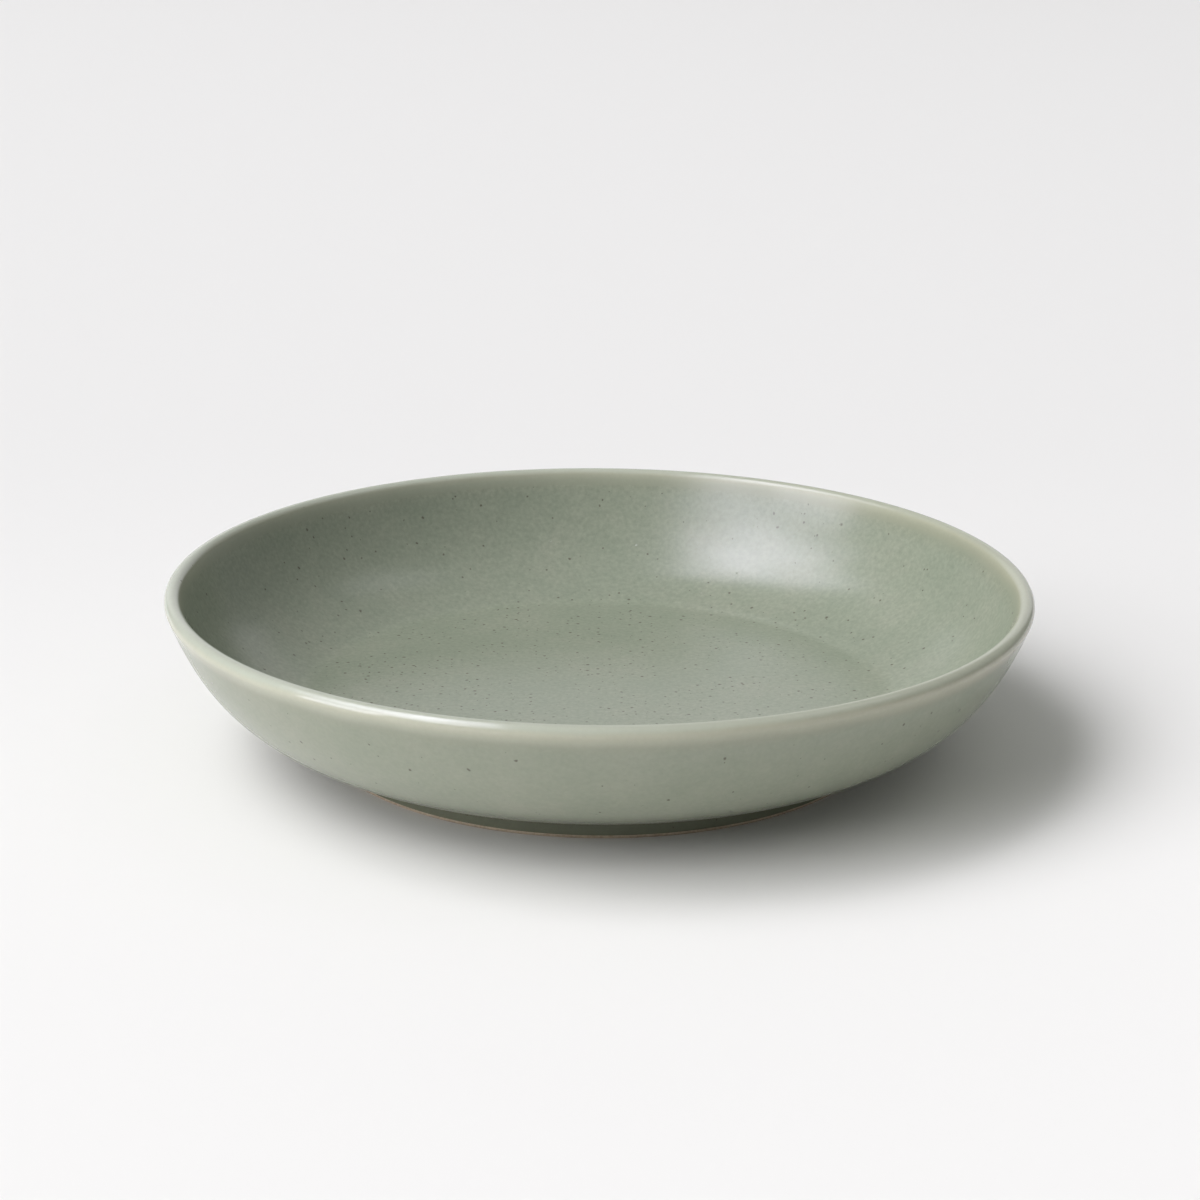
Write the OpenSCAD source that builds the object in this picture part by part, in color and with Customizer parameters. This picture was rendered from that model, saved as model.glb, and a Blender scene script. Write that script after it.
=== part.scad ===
// Coupe soup bowl in glazed stoneware: a low, wide bowl with a rounded lip,
// one sweeping wall and a turned foot ring with a bare clay edge.
// Origin: centre of the foot ring, on the table. +Z is the axis of the bowl.

/* [Bowl] */
// Outside diameter over the lip
rim_d = 230; // [205:1:270]
// Height from the table to the top of the lip
bowl_h = 44; // [38:0.5:60]

/* [Wall] */
// Thickness of the wall at the belly, glaze on both faces included
wall_t = 4.8; // [4:0.1:6.5]
// Thickness of the lip, glaze included
lip_t = 4.2; // [3:0.1:5.5]
// Thickness of the floor, glaze on both faces included
floor_t = 6; // [5:0.1:7]
// Slope of the belly where it leaves the foot ring, in degrees
belly_slope = 13; // [8:0.5:18]
// How far the belly reaches outwards along that slope before it turns up
belly_run = 27; // [20:0.5:32]
// Lean of the wall where it meets the lip, in degrees from the table
wall_lean = 68; // [62:0.5:78]
// How far the wall runs down along that lean before it turns out to the belly
wall_run = 14.5; // [10:0.5:18]
// How far outside the foot ring the soft edge of the floor meets the wall
well_reach = 7.5; // [4:0.5:12]
// Radius of that soft edge
well_round = 18; // [8:1:30]

/* [Foot] */
// Outside diameter of the foot ring
foot_d = 150; // [130:0.5:160]
// Height at which the belly springs from the foot ring
foot_h = 5.5; // [4.5:0.1:8]
// Thickness of the foot ring, glaze on both faces included
foot_w = 5.5; // [4:0.1:9]
// Fillet between the foot ring and the belly
foot_fillet = 1.5; // [0.8:0.1:2.5]
// Fillet between the base and the inside of the foot ring
base_fillet = 1.6; // [0.8:0.1:2.5]
// Rounding of the bare bottom edges of the foot ring
foot_round = 0.7; // [0.3:0.1:1]

/* [Glaze] */
// Thickness of the glaze on the wall, the floor and the base
glaze_t = 0.45; // [0.3:0.05:0.7]
// Thickness of the glaze at the top of the lip, where it has run thin
lip_glaze_t = 0.25; // [0.15:0.05:0.45]
// How far the thin band of glaze reaches down from the round of the lip
lip_band = 3; // [1.5:0.25:6]
// Height of the bare clay edge at the bottom of the foot ring
bare_h = 1; // [0.6:0.1:1.5]

/* [Hidden] */
$fn = 96;

// Steps along each stretch of the outline
wall_steps = 22;
band_steps = 5;
lip_steps = 16;
fillet_steps = 6;
well_steps = 6;

// A rounding takes up at most this share of the face that carries it
rounding_share = 0.8;

// Faces of the wall, from the outside in
GLAZE_OUT = 0;
CLAY_OUT = 1;
CLAY_IN = 2;
GLAZE_IN = 3;

// Coordinates of an outline point
RADIUS = 0;
HEIGHT = 1;

rim_r = rim_d / 2;
lip_r = lip_t / 2;
lip_mid = [rim_r - lip_r, bowl_h - lip_r];
foot_r = foot_d / 2;
foot_in_r = foot_r - foot_w;

// Outer fillet of the foot ring, tangent to the belly
spring_r = min(foot_fillet, rounding_share * (foot_h - bare_h));
spring_mid = [foot_r + spring_r, foot_h - spring_r * cos(belly_slope)];

// The outer face of the wall is one cubic curve from the foot ring to the lip
wall_start = spring_mid + spring_r * heading(90 + belly_slope);
wall_end = lip_mid + lip_r * heading(wall_lean - 90);
wall_curve = [
    wall_start,
    wall_start + belly_run * heading(belly_slope),
    wall_end - wall_run * heading(wall_lean),
    wall_end
];
band_start = share_at(GLAZE_OUT, HEIGHT, wall_end.y - lip_band);
outer_shares = shares(0, band_start, wall_steps);
band_shares = shares(band_start, 1, band_steps);

// The floor is flat up to the soft edge that carries it into the wall
well_start = share_at(GLAZE_IN, RADIUS, wall_point(GLAZE_IN, 0).x + well_reach);
well_turn = outer_angle(well_start);
well_mid = wall_point(GLAZE_IN, well_start) + well_round * heading(90 + well_turn);
inner_shares = shares(well_start, band_start, wall_steps);
floor_z = well_mid.y - well_round;
base_z = floor_z - floor_t;

// Fillet of the base, and rounding of the bare clay edge
base_r = min(base_fillet, rounding_share * (base_z - bare_h));
base_mid = [foot_in_r - base_r, base_z - base_r];
edge_r = min(foot_round, rounding_share * bare_h);

// Unit vector at an angle from the radial direction
function heading(angle) = [cos(angle), sin(angle)];

// Points of a round stretch about a centre
function arc(mid, r, from, to, steps) =
    [for (i = [0 : steps]) mid + r * heading(from + (to - from) * i / steps)];

// Smooth change from 0 to 1
function ease(x) = x * x * (3 - 2 * x);

// Point of the outer face at a share s of the curve, 0 at the foot ring and 1 at the lip
function outer_point(s) =
    pow(1 - s, 3) * wall_curve[0]
    + 3 * pow(1 - s, 2) * s * wall_curve[1]
    + 3 * (1 - s) * s * s * wall_curve[2]
    + pow(s, 3) * wall_curve[3];

// Direction of the outer face there, from the foot ring towards the lip
function outer_angle(s) =
    let (d = pow(1 - s, 2) * (wall_curve[1] - wall_curve[0])
        + 2 * (1 - s) * s * (wall_curve[2] - wall_curve[1])
        + s * s * (wall_curve[3] - wall_curve[2]))
    atan2(d.y, d.x);

// Share of the curve at which a face reaches a radius or a height, found by halving
function share_at(face, coordinate, value, low = 0, high = 1, halvings = 20) =
    let (s = (low + high) / 2)
    halvings == 0 ? s
    : wall_point(face, s)[coordinate] < value ? share_at(face, coordinate, value, s, high, halvings - 1)
    : share_at(face, coordinate, value, low, s, halvings - 1);

// Even steps from one share of the curve to another
function shares(from, to, steps) = [for (i = [0 : steps]) from + (to - from) * i / steps];

// Thickness of the whole wall, and of one coat of glaze, along the curve
function wall_thickness(s) = wall_t + (lip_t - wall_t) * ease(s);
function coat_thickness(s) =
    glaze_t + (lip_glaze_t - glaze_t) * ease(max(0, s - band_start) / (1 - band_start));

// Point of one of the four faces of the wall
function wall_depth(face, s) =
    face == GLAZE_OUT ? 0
    : face == CLAY_OUT ? coat_thickness(s)
    : face == CLAY_IN ? wall_thickness(s) - coat_thickness(s)
    : wall_thickness(s);
function wall_point(face, s) = outer_point(s) + wall_depth(face, s) * heading(outer_angle(s) + 90);
function wall_line(face, along) = [for (s = along) wall_point(face, s)];

// Round of the lip and soft edge of the floor, at a depth of glaze below the finished face
function lip_line(depth) = arc(lip_mid, lip_r - depth, wall_lean - 90, wall_lean + 90, lip_steps);
function well_line(depth) = arc(well_mid, well_round + depth, 270 + well_turn, 270, well_steps);

// Outside and inside of the foot ring above the bare edge, at a depth of glaze
function foot_line(depth) = concat(
    [[foot_r - depth, bare_h]],
    arc(spring_mid, spring_r + depth, 180, 90 + belly_slope, fillet_steps)
);
function base_line(depth) = concat(
    [[0, base_z + depth]],
    arc(base_mid, base_r + depth, 90, 0, fillet_steps),
    [[foot_in_r + depth, bare_h]]
);

// A line without its first point, and a line in reverse
function after_first(line) = [for (i = [1 : len(line) - 1]) line[i]];
function reversed(line) = [for (i = [len(line) - 1 : -1 : 0]) line[i]];

// Fired clay: foot ring, belly, wall, the core of the lip, floor and base
module stoneware_body() {
    bare_out = [foot_r - glaze_t - edge_r, edge_r];
    bare_in = [foot_in_r + glaze_t + edge_r, edge_r];
    outline = concat(
        arc(bare_in, edge_r, 180, 270, fillet_steps),
        arc(bare_out, edge_r, 270, 360, fillet_steps),
        foot_line(glaze_t),
        after_first(wall_line(CLAY_OUT, outer_shares)),
        after_first(wall_line(CLAY_OUT, band_shares)),
        after_first(lip_line(lip_glaze_t)),
        after_first(wall_line(CLAY_IN, reversed(band_shares))),
        after_first(wall_line(CLAY_IN, reversed(inner_shares))),
        after_first(well_line(glaze_t)),
        [[0, floor_z - glaze_t]],
        base_line(glaze_t)
    );
    color("tan") rotate_extrude() polygon(outline);
}

// Glaze poured into the bowl: the floor and the inner face of the wall
module inside_glaze() {
    outline = concat(
        wall_line(GLAZE_IN, reversed(inner_shares)),
        after_first(well_line(0)),
        [[0, floor_z], [0, floor_z - glaze_t]],
        reversed(well_line(glaze_t)),
        after_first(wall_line(CLAY_IN, inner_shares))
    );
    color("darkseagreen") rotate_extrude() polygon(outline);
}

// Thin glaze over the lip, where the clay warms its colour
module lip_glaze() {
    outline = concat(
        wall_line(GLAZE_OUT, band_shares),
        after_first(lip_line(0)),
        after_first(wall_line(GLAZE_IN, reversed(band_shares))),
        wall_line(CLAY_IN, band_shares),
        after_first(reversed(lip_line(lip_glaze_t))),
        after_first(wall_line(CLAY_OUT, reversed(band_shares)))
    );
    color("beige") rotate_extrude() polygon(outline);
}

// Glaze on the outside: the wall, the belly and the foot ring down to its bare edge
module outside_glaze() {
    outline = concat(
        foot_line(0),
        after_first(wall_line(GLAZE_OUT, outer_shares)),
        wall_line(CLAY_OUT, reversed(outer_shares)),
        after_first(reversed(foot_line(glaze_t)))
    );
    color("darkseagreen") rotate_extrude() polygon(outline);
}

// Glaze on the underside, inside the foot ring
module base_glaze() {
    outline = concat(base_line(0), reversed(base_line(glaze_t)));
    color("darkseagreen") rotate_extrude() polygon(outline);
}

stoneware_body();
inside_glaze();
lip_glaze();
outside_glaze();
base_glaze();
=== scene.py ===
from math import cos, pi, radians, sin
import bpy
import numpy as np
from mathutils import Matrix, Vector


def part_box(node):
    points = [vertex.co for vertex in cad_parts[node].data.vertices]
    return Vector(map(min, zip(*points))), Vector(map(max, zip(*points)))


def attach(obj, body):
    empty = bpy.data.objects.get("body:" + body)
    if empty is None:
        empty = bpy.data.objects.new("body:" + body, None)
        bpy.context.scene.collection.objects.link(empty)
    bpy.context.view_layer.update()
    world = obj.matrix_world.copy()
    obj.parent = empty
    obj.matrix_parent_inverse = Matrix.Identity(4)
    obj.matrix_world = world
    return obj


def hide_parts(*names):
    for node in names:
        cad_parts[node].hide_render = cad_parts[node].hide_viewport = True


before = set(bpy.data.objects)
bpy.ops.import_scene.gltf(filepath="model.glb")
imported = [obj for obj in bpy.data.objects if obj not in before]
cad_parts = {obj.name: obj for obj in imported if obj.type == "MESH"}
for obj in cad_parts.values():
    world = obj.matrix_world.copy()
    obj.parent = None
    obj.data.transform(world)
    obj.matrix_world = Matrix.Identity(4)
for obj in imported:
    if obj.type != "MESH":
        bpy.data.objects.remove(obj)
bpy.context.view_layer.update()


# Stoneware body
# One shell of buff stoneware, formed on a wheel, with a foot ring turned on it when it had stiffened.
# Glaze covers it all but for the bottom edge of the ring, which was wiped clean before the firing.
# Sizes are in millimetres and angles in degrees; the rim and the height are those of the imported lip.
low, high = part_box("lip_glaze")
rim_r = 1000 * min(high.x, -low.x, high.y, -low.y)
bowl_h = 1000 * high.z
wall_t, lip_t, floor_t = 4.8, 4.2, 6.0
belly_slope, belly_run = 13.0, 27.0
wall_lean, wall_run = 68.0, 14.5
well_reach, well_round = 7.5, 18.0
foot_r, foot_h, foot_w = 75.0, 5.5, 5.5
foot_fillet, base_fillet, foot_round = 1.5, 1.6, 0.7
glaze_t, lip_glaze_t, lip_band, bare_h = 0.45, 0.25, 3.0, 1.0


def heading(angle):
    """Unit vectors at angles in degrees from the radial direction."""
    angle = np.radians(angle)
    return np.stack([np.cos(angle), np.sin(angle)], axis=-1)


def arc(mid, radius, start, stop, steps):
    """Points on a circle about mid, at even angles from start to stop."""
    return mid + radius * heading(np.linspace(start, stop, steps + 1))


def ease(x):
    """Smooth rise from 0 to 1: three times the square less twice the cube."""
    return x * x * (3 - 2 * x)


lip_r = lip_t / 2
lip_mid = np.array([rim_r - lip_r, bowl_h - lip_r])
spring_mid = np.array([foot_r + foot_fillet, foot_h - foot_fillet * cos(radians(belly_slope))])
wall_start = spring_mid + foot_fillet * heading(90 + belly_slope)
wall_end = lip_mid + lip_r * heading(wall_lean - 90)
wall_pull = np.array([
    wall_start,
    wall_start + belly_run * heading(belly_slope),
    wall_end - wall_run * heading(wall_lean),
    wall_end,
])


def outer_point(share):
    """Cubic curve of the outer face: four pulls weighted by the powers of a share, which is 0 at the foot
    and 1 at the lip."""
    s = share[:, None]
    return ((1 - s) ** 3 * wall_pull[0] + 3 * (1 - s) ** 2 * s * wall_pull[1]
            + 3 * (1 - s) * s ** 2 * wall_pull[2] + s ** 3 * wall_pull[3])


def outer_angle(share):
    """Direction of that curve in degrees, from its first derivative."""
    s = share[:, None]
    d = ((1 - s) ** 2 * (wall_pull[1] - wall_pull[0]) + 2 * (1 - s) * s * (wall_pull[2] - wall_pull[1])
         + s ** 2 * (wall_pull[3] - wall_pull[2]))
    return np.degrees(np.arctan2(d[:, 1], d[:, 0]))


def wall_line(share, depth):
    """Points at a depth below the outer face, measured square to it."""
    inward = heading(outer_angle(share) + 90)
    return outer_point(share) + np.broadcast_to(depth, share.shape)[:, None] * inward


def wall_depth(share):
    """Thickness of the whole wall, which eases from the belly to the lip."""
    return wall_t + (lip_t - wall_t) * ease(share)


every_share = np.linspace(0, 1, 4001)
band_start = np.interp(wall_end[1] - lip_band, outer_point(every_share)[:, 1], every_share)
inner_r = wall_line(every_share, wall_depth(every_share))[:, 0]
well_start = np.interp(inner_r[0] + well_reach, inner_r, every_share)
well_turn = outer_angle(np.array([well_start]))[0]
well_point = wall_line(np.array([well_start]), wall_depth(np.array([well_start])))[0]
well_mid = well_point + well_round * heading(90 + well_turn)
floor_z = well_mid[1] - well_round
base_z = floor_z - floor_t
foot_in_r = foot_r - foot_w
base_mid = np.array([foot_in_r - base_fillet, base_z - base_fillet])


def coat_depth(share):
    """Thickness of the glaze on the wall, which eases to a thin coat over the band below the lip."""
    return glaze_t + (lip_glaze_t - glaze_t) * ease(np.maximum(0, share - band_start) / (1 - band_start))


outer_share = np.linspace(0, band_start, 120)
band_share = np.linspace(band_start, 1, 20)
inner_share = np.linspace(band_start, well_start, 110)


def upright(radius, bottom, top, count):
    """Points at even heights on a straight upright line."""
    return np.stack([np.full(count, radius), np.linspace(bottom, top, count)], axis=1)


def level(height, start, stop, count):
    """Points at even radii on a level line."""
    return np.stack([np.linspace(start, stop, count), np.full(count, height)], axis=1)


def outside_line(below):
    """Foot ring above the bare edge, its fillet and the outer wall; below is 0 on the finished face and 1 on
    the clay under it."""
    return np.vstack([
        upright(foot_r - below * glaze_t, bare_h, spring_mid[1], 12),
        arc(spring_mid, foot_fillet + below * glaze_t, 180, 90 + belly_slope, 16)[1:],
        wall_line(outer_share, below * coat_depth(outer_share))[1:],
    ])


def lip_line(below):
    """Band below the lip on the outside, round of the lip, band on the inside."""
    coat = below * coat_depth(band_share)
    return np.vstack([
        wall_line(band_share, coat),
        arc(lip_mid, lip_r - below * lip_glaze_t, wall_lean - 90, wall_lean + 90, 48)[1:],
        wall_line(band_share[::-1], (wall_depth(band_share) - coat)[::-1])[1:],
    ])


def inside_line(below):
    """Inner wall, soft edge of the well, flat floor to the middle."""
    return np.vstack([
        wall_line(inner_share, wall_depth(inner_share) - below * coat_depth(inner_share)),
        arc(well_mid, well_round + below * glaze_t, 270 + well_turn, 270, 28)[1:],
        level(floor_z - below * glaze_t, well_mid[0], 0, 16)[1:],
    ])


def base_line(below):
    """Middle of the underside, fillet, inside of the foot ring down to the bare edge."""
    return np.vstack([
        level(base_z + below * glaze_t, 0, base_mid[0], 14),
        arc(base_mid, base_fillet + below * glaze_t, 90, 0, 14)[1:],
        upright(foot_in_r + below * glaze_t, base_mid[1], bare_h, 9)[1:],
    ])


def turn(name, outline, run=None, reach=None, around=256):
    """Turns an outline of radii and heights in millimetres: a point goes round as its radius times the
    cosine and sine of even angles. An outline from axis to axis ends in two poles, and any other closes on
    itself. The mesh keeps the run of each point, and a flat map in metres, in which its reach stands for its
    radius."""
    outline = np.asarray(outline) / 1000
    poles = outline[0, 0] == 0
    ring = slice(1, -1) if poles else slice(None)
    ends = [0, -1] if poles else []
    angle = np.linspace(0, 2 * np.pi, around, endpoint=False)
    circle = np.stack([np.cos(angle), np.sin(angle), np.ones(around)], axis=-1)
    points = (outline[ring][:, None, [0, 0, 1]] * circle).reshape(-1, 3)
    points = np.vstack([points, outline[ends][:, [0, 0, 1]]])
    here = around * np.arange(len(outline[ring]))[:, None]
    above = np.roll(here, -1, axis=0)
    left = np.arange(around)
    right = np.roll(left, -1)
    quads = np.stack([here + left, here + right, above + right, above + left], axis=-1)
    faces = quads[:-1 if poles else None].reshape(-1, 4).tolist()
    if poles:
        first = np.full(around, len(points) - 2)
        last = first + 1
        faces += np.stack([first, right, left], axis=1).tolist()
        faces += np.stack([here[-1] + left, here[-1] + right, last], axis=1).tolist()
    mesh = bpy.data.meshes.new(name)
    mesh.from_pydata(points.tolist(), [], faces)
    mesh.shade_smooth()
    mesh.set_sharp_from_angle(angle=radians(40))
    if run is not None:
        marks = np.concatenate([np.repeat(run[ring], around), run[ends]])
        run_marks = mesh.attributes.new("lip_run", "FLOAT", "POINT")
        run_marks.data.foreach_set("value", marks.astype(np.float32))
    if reach is not None:
        flat = (reach[ring][:, None, None] / 1000 * circle * (1, 1, 0)).reshape(-1, 3)
        flat = np.vstack([flat, np.zeros((len(ends), 3))])
        flat_map = mesh.attributes.new("flat_map", "FLOAT_VECTOR", "POINT")
        flat_map.data.foreach_set("vector", flat.astype(np.float32).ravel())
    piece = bpy.data.objects.new(name, mesh)
    bpy.context.scene.collection.objects.link(piece)
    return piece


bare_out = np.array([foot_r - glaze_t - foot_round, foot_round])
bare_in = np.array([foot_in_r + glaze_t + foot_round, foot_round])
body_outline = np.vstack([
    base_line(1),
    arc(bare_in, foot_round, 180, 270, 8),
    arc(bare_out, foot_round, 270, 360, 8),
    outside_line(1),
    lip_line(1)[1:],
    inside_line(1)[1:],
])
stoneware_body = turn("bowl_stoneware", body_outline, around=192)


def node(tree, kind, sockets, **settings):
    """Adds a shader node: settings go on the node itself, and each socket is linked to an output or given
    a value."""
    made = tree.nodes.new("ShaderNode" + kind)
    for name, value in settings.items():
        setattr(made, name, value)
    for name, value in sockets.items():
        if isinstance(value, bpy.types.NodeSocket):
            tree.links.new(value, made.inputs[name])
        else:
            made.inputs[name].default_value = value
    return made


def ramp(tree, factor, stops):
    """Colour by a factor: each stop is a position and a colour, with straight changes between them."""
    made = node(tree, "ValToRGB", {"Fac": factor})
    elements = made.color_ramp.elements
    while len(elements) < len(stops):
        elements.new(0.5)
    for element, (position, colour) in zip(elements, stops):
        element.position = position
        element.color = colour
    return made


def noise(tree, place, scale, detail, roughness=0.5):
    """Smooth random value of a place, about 0.5: waves of a scale per metre, and finer ones by the detail,
    each weaker than the last by the roughness."""
    sockets = {"Vector": place, "Scale": scale, "Detail": detail, "Roughness": roughness}
    return node(tree, "TexNoise", sockets).outputs["Fac"]


def reckon(tree, operation, *values):
    """Result of a sum, product or other operation on outputs and numbers."""
    return node(tree, "Math", dict(enumerate(values)), operation=operation).outputs[0]


bare_clay = bpy.data.materials.new("bare_clay")
bare_clay.use_nodes = True
tree = bare_clay.node_tree
shader = tree.nodes["Principled BSDF"]
shader.inputs["Roughness"].default_value = 0.85
shader.inputs["IOR"].default_value = 1.45
place = node(tree, "TexCoord", {}).outputs["Object"]
grit = noise(tree, place, 1500.0, 4.0)
lathe_lines = node(tree, "Mapping", {"Vector": place, "Scale": (60.0, 60.0, 4500.0)}).outputs["Vector"]
tooling = noise(tree, lathe_lines, 1.0, 2.0)
relief = reckon(tree, "MULTIPLY", reckon(tree, "ADD", grit, tooling), 0.5)
clay_colour = ramp(tree, relief, [
    (0.34, (0.330, 0.245, 0.165, 1)),
    (0.50, (0.470, 0.390, 0.285, 1)),
    (0.66, (0.560, 0.480, 0.370, 1)),
])
tree.links.new(clay_colour.outputs["Color"], shader.inputs["Base Color"])
clay_bump = node(tree, "Bump", {"Height": relief, "Strength": 0.6, "Distance": 0.00012})
tree.links.new(clay_bump.outputs["Normal"], shader.inputs["Normal"])
stoneware_body.data.materials.append(bare_clay)
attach(stoneware_body, "root")
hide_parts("stoneware_body")


# Inside glaze
# Satin sage glaze poured into the bowl and swilled round: floor and inner wall, up to the thin band at the
# lip. It carries fine dark specks of iron and small pits where gas broke through in the firing, and a faint
# pale ring of painted highlight lies just outside the middle of the floor's soft edge.
# One sage glaze in and out; the outside copy is paler, which is painted light on the outer wall
inside_shades = [(0.242, 0.280, 0.204, 1), (0.259, 0.294, 0.216, 1), (0.278, 0.307, 0.229, 1)]
outside_lit_shades = [(0.265, 0.296, 0.216, 1), (0.282, 0.310, 0.229, 1), (0.302, 0.323, 0.243, 1)]
cloud_levels = (0.32, 0.50, 0.68)

# Colour and cover of the thin glaze by the run in millimetres from the top of the lip, inside first
lip_shades = [
    (-9.0, (0.290, 0.318, 0.236, 0.0)),
    (-6.0, (0.312, 0.336, 0.251, 0.45)),
    (-4.0, (0.362, 0.382, 0.288, 0.75)),
    (-2.4, (0.432, 0.446, 0.342, 1.0)),
    (-1.3, (0.445, 0.476, 0.385, 1.0)),
    (1.9, (0.452, 0.485, 0.395, 1.0)),
    (3.0, (0.474, 0.484, 0.376, 1.0)),
    (4.2, (0.450, 0.458, 0.354, 1.0)),
    (5.5, (0.390, 0.404, 0.309, 0.85)),
    (7.0, (0.325, 0.342, 0.259, 0.36)),
    (9.0, (0.290, 0.314, 0.232, 0.0)),
]
lip_top, lip_reach, lip_drift = 2.0, 10.0, 0.9
lip_gloss, satin_change = 0.11, 0.02
# Painted shade: a tint that makes the thin glaze darker and warmer towards the right side
right_shade_tint = (0.850, 0.838, 0.785, 1)
# Painted shade: the outer glaze goes darker towards the foot, between these runs in millimetres
foot_painted_shade = (0.162, 0.174, 0.115, 1)
foot_shade_start, foot_shade_full = 34.0, 47.0
iron_shade = (0.085, 0.075, 0.050, 1)
iron_cover = 0.8
grain_height, pit_depth = 0.15, 0.07

# Places that the shader reads, in metres along X and on the flat map
# Along X, where the painted shade on the right side starts and where it is full
right_shade_start, right_shade_full = -0.05, 0.11
floor_ends, wall_begins = 0.072, 0.090
# Painted highlight: a pale ring on the inside floor, with its radius, half width and drift
highlight_ring_r = ((well_mid[0] + well_point[0]) / 2 + 0.6) / 1000
highlight_ring_half_width, highlight_ring_drift = 0.0034, 0.0022
spot_wobble = (0.0007, 0.0007, 0.0)


def length_along(line):
    """Length from the first point of a line to each of its points: the running sum of the steps between."""
    return np.concatenate([[0], np.cumsum(np.hypot(*np.diff(line, axis=0).T))])


def spread(tree, value, start, stop, low=0.0, high=1.0, change="LINEAR"):
    """Value carried in proportion from the range start to stop onto low to high, and held at both ends."""
    sockets = {"Value": value, "From Min": start, "From Max": stop, "To Min": low, "To Max": high}
    return node(tree, "MapRange", sockets, interpolation_type=change).outputs["Result"]


def blend(tree, share, first, second, manner="MIX"):
    """Colour that goes by a share from the first one to the second, or to the product of both."""
    sockets = {"Factor": share, "A": first, "B": second}
    return node(tree, "Mix", sockets, data_type="RGBA", blend_type=manner).outputs["Result"]


def glaze_material(name, roughness, grain, fine_shares, coarse_share, pit_shares, highlight_ring_gain=0.0):
    """Satin glaze. Colour: a cloudy sage with fine grain, paler on the outside as painted light,
    paler and warmer by the run from the top of the lip, darker as painted shade on the thin glaze
    towards the right side and on the outer wall towards the foot, with a pale ring of painted
    highlight on the floor, and specks in a share of the cells of random lattices on the flat map.
    Relief in millimetres: grain, and craters in a share of the cells of another lattice.
    Roughness: it varies with the clouds, and falls to that of the lip where the outer glaze is thin."""
    material = bpy.data.materials.new(name)
    material.use_nodes = True
    tree = material.node_tree
    shader = tree.nodes["Principled BSDF"]
    shader.inputs["IOR"].default_value = 1.65
    shader.inputs["Specular Tint"].default_value = (0.93, 0.91, 1.0, 1.0)
    place = node(tree, "TexCoord", {}).outputs["Object"]
    flat = node(tree, "Attribute", {}, attribute_name="flat_map").outputs["Vector"]

    cloud = noise(tree, place, 42.0, 6.0, 0.68)
    run = node(tree, "Attribute", {}, attribute_name="lip_run").outputs["Fac"]
    outward = spread(tree, run, -lip_top, lip_top)
    # The outside copy is paler: painted light on the outer wall
    within = ramp(tree, cloud, list(zip(cloud_levels, inside_shades))).outputs["Color"]
    without = ramp(tree, cloud, list(zip(cloud_levels, outside_lit_shades))).outputs["Color"]
    sage = blend(tree, outward, within, without)

    drift = noise(tree, place, 45.0, 3.0)
    drift = reckon(tree, "MULTIPLY_ADD", drift, 2 * lip_drift, -lip_drift)
    across = spread(tree, reckon(tree, "ADD", run, drift), -lip_reach, lip_reach)
    thin = ramp(tree, across, [((at + lip_reach) / (2 * lip_reach), shade) for at, shade in lip_shades])
    # Painted shade: the thin glaze goes darker and warmer towards the right side
    side = node(tree, "SeparateXYZ", {"Vector": place}).outputs["X"]
    side = spread(tree, side, right_shade_start, right_shade_full)
    right_shaded = blend(tree, side, thin.outputs["Color"], right_shade_tint, "MULTIPLY")
    coat = blend(tree, thin.outputs["Alpha"], sage, right_shaded)
    # Painted shade: the outer wall goes darker towards the foot, under the belly
    foot_shade_share = spread(tree, run, foot_shade_start, foot_shade_full)
    foot_shaded = blend(tree, foot_shade_share, coat, foot_painted_shade)

    grit = noise(tree, place, 800.0, 3.0, 0.6)
    shade = spread(tree, grit, 0.25, 0.75, 1 - grain, 1 + grain)
    flat_reach = node(tree, "VectorMath", {0: flat}, operation="LENGTH").outputs["Value"]
    # Painted highlight: a pale ring on the floor at the soft edge of the well
    off_highlight_ring = reckon(tree, "ABSOLUTE", reckon(tree, "SUBTRACT", flat_reach, highlight_ring_r))
    off_highlight_ring = reckon(tree, "MULTIPLY_ADD", drift, highlight_ring_drift, off_highlight_ring)
    ring = spread(tree, off_highlight_ring, 0.0, highlight_ring_half_width, 1 + highlight_ring_gain, 1.0, "SMOOTHSTEP")
    shade = reckon(tree, "MULTIPLY", shade, ring)
    grained = blend(tree, 1.0, foot_shaded, shade, "MULTIPLY")

    wobble = node(tree, "TexNoise", {"Vector": place, "Scale": 900.0, "Detail": 1.0}).outputs["Color"]
    wobble = node(tree, "VectorMath", {0: wobble, 1: spot_wobble}, operation="MULTIPLY").outputs["Vector"]
    bent = node(tree, "VectorMath", {0: flat, 1: wobble}, operation="ADD").outputs["Vector"]
    clump = spread(tree, noise(tree, place, 75.0, 2.0), 0.35, 0.65, 0.0, 1.6)

    def spots(scale, shares, least, most):
        """Round spots, in clumps, in a share of the cells: the first share on the floor and the second on
        the walls. They are 1 in the middle and 0 at a radius, from least to most of a cell."""
        share = spread(tree, flat_reach, floor_ends, wall_begins, *shares)
        share = reckon(tree, "MULTIPLY", share, clump)
        cells = node(tree, "TexVoronoi", {"Vector": bent, "Scale": scale}, voronoi_dimensions="2D")
        chance = node(tree, "SeparateColor", {"Color": cells.outputs["Color"]}).outputs["Red"]
        there = reckon(tree, "LESS_THAN", chance, share)
        rarity = reckon(tree, "POWER", spread(tree, chance, 0.0, share, 1.0, 0.0), 1.5)
        radius = spread(tree, rarity, 0.0, 1.0, least, most)
        ratio = reckon(tree, "DIVIDE", cells.outputs["Distance"], radius)
        spot = spread(tree, ratio, 1.0, 0.3, change="SMOOTHSTEP")
        return reckon(tree, "MULTIPLY", spot, there)

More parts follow.
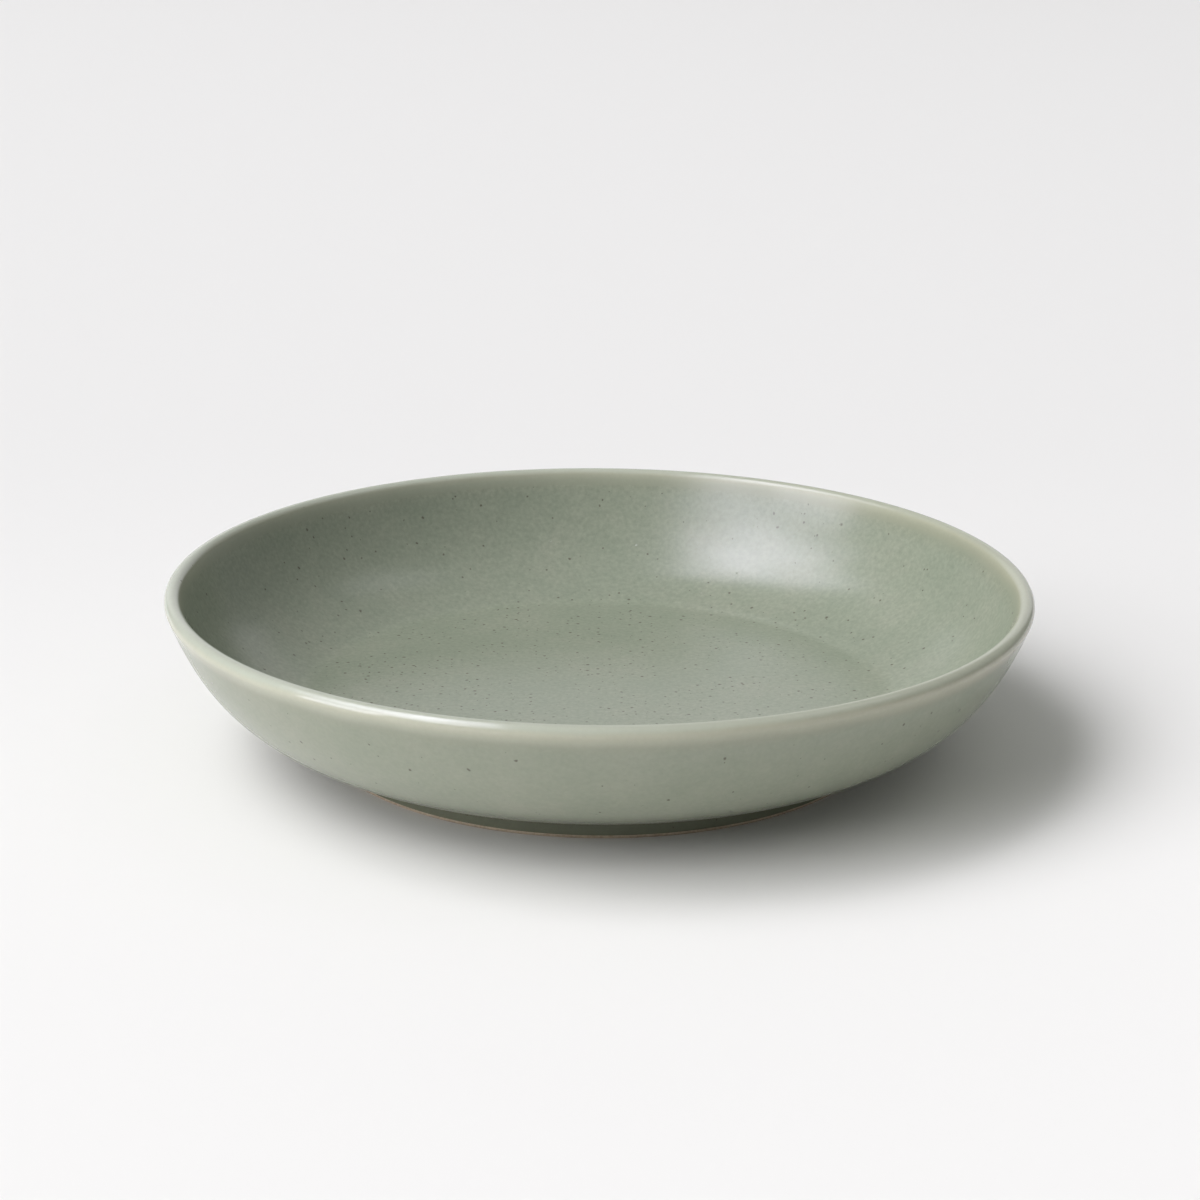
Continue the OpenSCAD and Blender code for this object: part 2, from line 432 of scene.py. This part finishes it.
    fine = spots(scale=330.0, shares=fine_shares, least=0.06, most=0.21)
    fine = reckon(tree, "MULTIPLY", fine, iron_cover)
    coarse = spots(scale=120.0, shares=(coarse_share, coarse_share), least=0.02, most=0.085)
    coarse = reckon(tree, "MULTIPLY", coarse, iron_cover)
    specked = blend(tree, reckon(tree, "MAXIMUM", fine, coarse), grained, iron_shade)
    tree.links.new(specked, shader.inputs["Base Color"])

    pits = spots(scale=260.0, shares=pit_shares, least=0.06, most=0.14)
    relief = reckon(tree, "MULTIPLY", grit, grain_height * grain)
    relief = reckon(tree, "MULTIPLY_ADD", pits, -pit_depth, relief)
    bump = node(tree, "Bump", {"Height": relief, "Strength": 1.0, "Distance": 0.001})
    tree.links.new(bump.outputs["Normal"], shader.inputs["Normal"])
    satin = spread(tree, cloud, 0.3, 0.7, roughness - satin_change, roughness + satin_change)
    drawn = reckon(tree, "MULTIPLY", thin.outputs["Alpha"], outward)
    gloss = node(tree, "Mix", {"Factor": drawn, "A": satin, "B": lip_gloss}).outputs["Result"]
    tree.links.new(gloss, shader.inputs["Roughness"])
    return material


lip_face = lip_line(0)
lip_length = length_along(lip_face)
lip_run = lip_length[lip_face[:, 1].argmax()] - lip_length
inside_face = inside_line(0)
inside_run = lip_run[-1] - length_along(inside_face)
inside_outline = np.vstack([inside_line(1)[::-1], inside_face])
inside_marks = np.concatenate([inside_run[::-1], inside_run])
inside_glaze = turn("glaze_inside", inside_outline, inside_marks, inside_marks - inside_run[-1])
sage_inside = glaze_material(
    "sage_glaze_inside", roughness=0.235, grain=0.13,
    fine_shares=(0.6, 0.08), coarse_share=0.3, pit_shares=(0.5, 0.06), highlight_ring_gain=0.04)
inside_glaze.data.materials.append(sage_inside)
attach(inside_glaze, "root")
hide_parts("inside_glaze")


# Lip glaze
# The same glaze where it drew back from the rounded lip in the firing and lies thin over the clay.
# It is paler on top, and breaks to a warmer tone along both shoulders. Towards the right side it is
# darker and warmer, which is painted shade.
lip_outline = np.vstack([lip_face, lip_line(1)[::-1]])
lip_marks = np.concatenate([lip_run, lip_run[::-1]])
lip_glaze = turn("glaze_lip", lip_outline, lip_marks, rim_r - lip_marks)
thin_lip = glaze_material(
    "thin_glaze_lip", roughness=0.23, grain=0.03,
    fine_shares=(0.0, 0.0), coarse_share=0.1, pit_shares=(0.0, 0.0))
lip_glaze.data.materials.append(thin_lip)
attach(lip_glaze, "root")
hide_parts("lip_glaze")


# Outside glaze
# The bowl was held by its foot and dipped: the coat runs from the lip down the wall and over the foot ring.
# It ends in a round bead just above the bare edge.
bead_top = bare_h + glaze_t
bead_step = 0.05
bead = arc(np.array([foot_r - glaze_t, bead_top]), glaze_t, 270, 360, 6)
outside_face = outside_line(0)
outside_face = np.vstack([bead, outside_face[outside_face[:, 1] > bead_top + bead_step]])
outside_run = length_along(outside_face)
outside_run = lip_run[0] + outside_run[-1] - outside_run
outside_clay = outside_line(1)
clay_run = length_along(outside_clay)
clay_run = lip_run[0] + clay_run[-1] - clay_run
outside_outline = np.vstack([outside_face, outside_clay[:0:-1]])
outside_marks = np.concatenate([outside_run, clay_run[:0:-1]])
outside_reach = foot_r + outside_run[0] - outside_marks
outside_glaze = turn("glaze_outside", outside_outline, outside_marks, outside_reach)
sage_outside = glaze_material(
    "sage_glaze_outside", roughness=0.22, grain=0.05,
    fine_shares=(0.05, 0.05), coarse_share=0.4, pit_shares=(0.04, 0.04))
outside_glaze.data.materials.append(sage_outside)
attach(outside_glaze, "root")
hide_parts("outside_glaze")


# Base glaze
# A plainer coat brushed on the underside, within the foot ring, with a bead like the outer one above the
# bare edge. All of it has the run of the plain wall, clear of the lip's fade and of the painted shade at
# the foot.
plain_run = 25.0
base_face = base_line(0)
base_bead = arc(np.array([foot_in_r + glaze_t, bead_top]), glaze_t, 180, 270, 6)
base_face = np.vstack([base_face[base_face[:, 1] > bead_top + bead_step], base_bead])
base_outline = np.vstack([base_face, base_line(1)[-2::-1]])
base_marks = np.full(len(base_outline), plain_run)
base_glaze = turn("glaze_base", base_outline, base_marks, length_along(base_outline))
sage_base = glaze_material(
    "sage_glaze_base", roughness=0.26, grain=0.10,
    fine_shares=(0.08, 0.08), coarse_share=0.3, pit_shares=(0.1, 0.1))
base_glaze.data.materials.append(sage_base)
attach(base_glaze, "root")
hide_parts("base_glaze")


# Floor
# A plain pale sheet that the bowl stands on, a little darker towards the back, which is painted shade.
floor_half = 6.0
floor_corners = [(-floor_half, -floor_half, 0), (floor_half, -floor_half, 0),
                 (floor_half, floor_half, 0), (-floor_half, floor_half, 0)]
# Painted shade: the floor colour darkens from front to back
front_shade, back_painted_shade = (0.862, 0.866, 0.833, 1), (0.788, 0.792, 0.764, 1)
painted_falloff_start, painted_falloff_end = -0.15, 0.35
floor_mesh = bpy.data.meshes.new("floor")
floor_mesh.from_pydata(floor_corners, [], [(0, 1, 2, 3)])
floor = bpy.data.objects.new("floor", floor_mesh)
bpy.context.scene.collection.objects.link(floor)
pale_floor = bpy.data.materials.new("pale_floor")
pale_floor.use_nodes = True
tree = pale_floor.node_tree
floor_shader = tree.nodes["Principled BSDF"]
floor_shader.inputs["Roughness"].default_value = 0.9
floor_shader.inputs["Specular IOR Level"].default_value = 0.0
place = node(tree, "TexCoord", {}).outputs["Object"]
depth = node(tree, "SeparateXYZ", {"Vector": place}).outputs["Y"]
depth = spread(tree, depth, painted_falloff_start, painted_falloff_end, change="SMOOTHSTEP")
floor_colour = ramp(tree, depth, [(0.0, front_shade), (1.0, back_painted_shade)])
tree.links.new(floor_colour.outputs["Color"], floor_shader.inputs["Base Color"])
floor_mesh.materials.append(pale_floor)


# Light
# A large softbox high on the left, which reaches round to the front and is brightest low down near its back
# end, and a low panel near the floor on that side, both slightly cool. A weak panel behind the bowl, a small
# one high on the right and a dim white room fill in.
def soft_panel(name, azimuth, elevation, distance, across_edges, up_edges, radiance, colour):
    """A rectangular lamp square to the direction at an azimuth and elevation, with its edges in shares of
    its distance off that direction. Its power is pi times its area times its radiance."""
    swing, tilt = radians(azimuth), radians(elevation)
    facing = Vector((cos(swing) * cos(tilt), sin(swing) * cos(tilt), sin(tilt)))
    across = Vector((sin(swing), -cos(swing), 0))
    up = facing.cross(across)
    lamp = bpy.data.lights.new(name, "AREA")
    lamp.shape = "RECTANGLE"
    lamp.size = distance * (across_edges[1] - across_edges[0])
    lamp.size_y = distance * (up_edges[1] - up_edges[0])
    lamp.energy = pi * lamp.size * lamp.size_y * radiance
    lamp.color = colour
    lamp_object = bpy.data.objects.new(name, lamp)
    middle = distance * (facing + across * sum(across_edges) / 2 + up * sum(up_edges) / 2)
    lamp_axes = Matrix((across, up, facing)).transposed().to_4x4()
    lamp_object.matrix_world = Matrix.Translation(middle) @ lamp_axes
    bpy.context.scene.collection.objects.link(lamp_object)


cool_white, white = (0.965, 0.945, 1.0), (1.0, 1.0, 1.0)
softbox_aim = (164.4, 56.5)
panel_distance = 20.0
layer_gap = 0.2
softbox_layers = [
    ("softbox", (-1.70, 0.15), (-0.38, 0.26), 2.11),
    ("softbox_left", (-1.70, -0.15), (-0.12, 0.45), 2.14),
    ("softbox_right", (-0.80, 0.15), (-0.38, 0.12), 1.87),
    ("softbox_bright", (-0.45, 0.0), (-0.24, -0.12), 3.98),
]
for layer, (name, across_edges, up_edges, radiance) in enumerate(softbox_layers):
    layer_distance = panel_distance + layer * layer_gap
    soft_panel(name, *softbox_aim, layer_distance, across_edges, up_edges, radiance, cool_white)
soft_panel("low_panel", 202.5, 14.0, panel_distance, (-0.215, 0.215), (-0.249, 0.249), 4.34, cool_white)
soft_panel("back_panel", 90.0, 14.0, panel_distance, (-0.56, 0.56), (-0.213, 0.213), 0.53, white)
soft_panel("small_panel", 27.5, 55.0, panel_distance, (-0.127, 0.127), (-0.158, 0.158), 0.61, white)

room_low, room_high = 0.26, 0.35
world = bpy.data.worlds.new("room")
bpy.context.scene.world = world
world.use_nodes = True
room = world.node_tree
direction = node(room, "TexCoord", {}).outputs["Generated"]
upward = node(room, "SeparateXYZ", {"Vector": direction}).outputs["Z"]
brightness = spread(room, upward, 0.0, 1.0, room_low, room_high)
room.links.new(brightness, room.nodes["Background"].inputs["Strength"])
room.nodes["Background"].inputs["Color"].default_value = (1, 1, 1, 1)


# Camera
# A long lens in front of the bowl, looking down at it, with a slight roll.
camera_distance, camera_height = 0.7260064, radians(20.5938)
camera_pan, camera_dip, camera_roll = radians(-0.0093), radians(17.7581), radians(0.4568)
camera = bpy.data.cameras.new("camera")
camera.lens = 80
camera.sensor_width = 36
camera.clip_start = 0.01
camera_object = bpy.data.objects.new("camera", camera)
bpy.context.scene.collection.objects.link(camera_object)
camera_place = camera_distance * Vector((0, -cos(camera_height), sin(camera_height)))
camera_object.matrix_world = (
    Matrix.Translation(camera_place)
    @ Matrix.Rotation(camera_pan, 4, "Z")
    @ Matrix.Rotation(pi / 2 - camera_dip, 4, "X")
    @ Matrix.Rotation(camera_roll, 4, "Z"))
bpy.context.scene.camera = camera_object
bpy.context.scene.view_settings.view_transform = "Standard"
